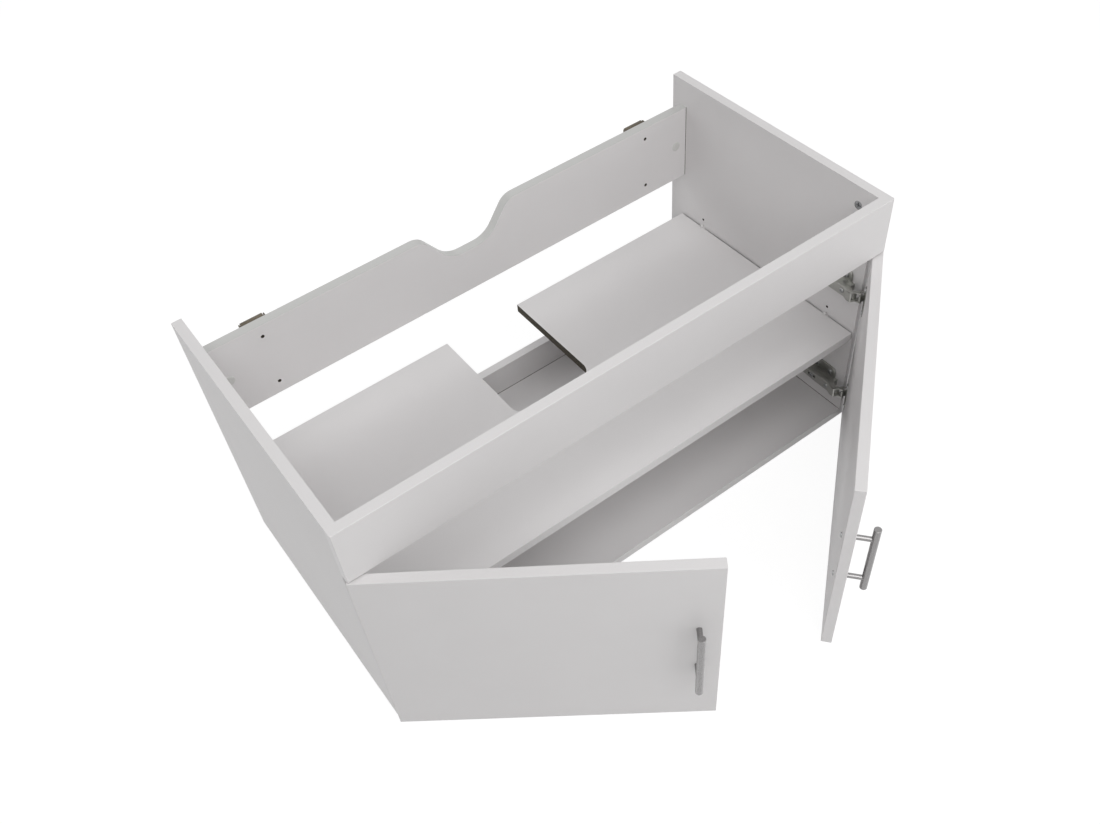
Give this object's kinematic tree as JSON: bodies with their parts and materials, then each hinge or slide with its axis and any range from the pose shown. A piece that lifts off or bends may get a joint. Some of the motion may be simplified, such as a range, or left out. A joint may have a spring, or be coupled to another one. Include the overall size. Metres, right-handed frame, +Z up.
{
  "type": "sink base cabinet",
  "caption": "Wall-hung white basin cabinet: board carcass open at top and back, shelf cut out for pipes, front rail, wall hangers, doors on concealed hinges with bar handles.",
  "frame": {"origin": "middle of the bottom panel's underside", "axes": "+X to the right seen from the front, +Y to the wall, +Z up"},
  "size_m": [0.9546, 0.7843, 0.485],
  "materials": {
    "white_board": "white melamine-faced particle board with white edge band, satin",
    "white_plastic": "white plastic",
    "beech": "plain beech",
    "zinc": "bare die-cast zinc",
    "dark_steel": "dark pressed steel",
    "satin_nickel": "satin nickel",
    "fastener_steel": "zinc-plated steel",
    "hinge_steel": "nickel-plated pressed steel"
  },
  "bodies": {
    "carcass": {"left_side_panel": "white_board", "right_side_panel": "white_board", "front_rail": "white_board", "back_rail": "white_board", "lower_back_rail": "white_board", "bottom_panel": "white_board", "shelf": "white_board", "shelf_supports": "white_plastic", "cam_locks": "zinc", "cam_bolts": "fastener_steel", "dowels": "beech", "cam_cover_caps": "white_plastic", "wall_hangers": "dark_steel", "hanger_hooks": "dark_steel", "hanger_adjusting_screws": "fastener_steel", "hanger_fixing_screws": "fastener_steel", "hinge_mounting_plates": "hinge_steel", "plate_screws": "fastener_steel", "arm_screws": "fastener_steel", "left_hinge_arms": "hinge_steel", "right_hinge_arms": "hinge_steel", "left_arm_pins": "fastener_steel", "right_arm_pins": "fastener_steel"},
    "left_leaf": {"left_door": "white_board", "left_hinge_cups": "hinge_steel", "left_cup_pins": "fastener_steel", "left_cup_screws": "fastener_steel", "left_handle_bar": "satin_nickel", "left_handle_posts": "satin_nickel", "left_handle_screws": "fastener_steel"},
    "left_outer_link_pair": {"left_outer_links": "hinge_steel"},
    "left_inner_link_pair": {"left_inner_links": "hinge_steel"},
    "right_leaf": {"right_door": "white_board", "right_hinge_cups": "hinge_steel", "right_cup_pins": "fastener_steel", "right_cup_screws": "fastener_steel", "right_handle_bar": "satin_nickel", "right_handle_posts": "satin_nickel", "right_handle_screws": "fastener_steel"},
    "right_outer_link_pair": {"right_outer_links": "hinge_steel"},
    "right_inner_link_pair": {"right_inner_links": "hinge_steel"}
  },
  "joints": [
    {"name": "left_outer_link_swing", "type": "hinge", "parent": "carcass", "child": "left_outer_link_pair", "pos_m": [-0.4384, -0.2272, 0.186], "axis": [0, 0, -1], "range_deg": [-18.31, 11.18]},
    {"name": "left_inner_link_swing", "type": "hinge", "parent": "carcass", "child": "left_inner_link_pair", "pos_m": [-0.4465, -0.2393, 0.186], "axis": [0, 0, -1], "range_deg": [-14.3, 8.73]},
    {"name": "left_door_swing", "type": "hinge", "parent": "left_outer_link_pair", "child": "left_leaf", "pos_m": [-0.46171, -0.23873, 0.186], "axis": [0, 0, -1], "range_deg": [-47.16, 77.29]},
    {"name": "right_outer_link_swing", "type": "hinge", "parent": "carcass", "child": "right_outer_link_pair", "pos_m": [0.4384, -0.2272, 0.186], "axis": [0, 0, 1], "range_deg": [-17.07, 12.42]},
    {"name": "right_inner_link_swing", "type": "hinge", "parent": "carcass", "child": "right_inner_link_pair", "pos_m": [0.4465, -0.2393, 0.186], "axis": [0, 0, 1], "range_deg": [-13.33, 9.7]},
    {"name": "right_door_swing", "type": "hinge", "parent": "right_outer_link_pair", "child": "right_leaf", "pos_m": [0.46145, -0.23923, 0.186], "axis": [0, 0, 1], "range_deg": [-52.4, 72.05]}
  ],
  "couplings": [
    {"joint": "left_outer_link_swing", "follows": "left_door_swing", "ratio": -0.23664},
    {"joint": "left_inner_link_swing", "follows": "left_door_swing", "ratio": -0.18473},
    {"joint": "right_outer_link_swing", "follows": "right_door_swing", "ratio": -0.23664},
    {"joint": "right_inner_link_swing", "follows": "right_door_swing", "ratio": -0.18473}
  ]
}
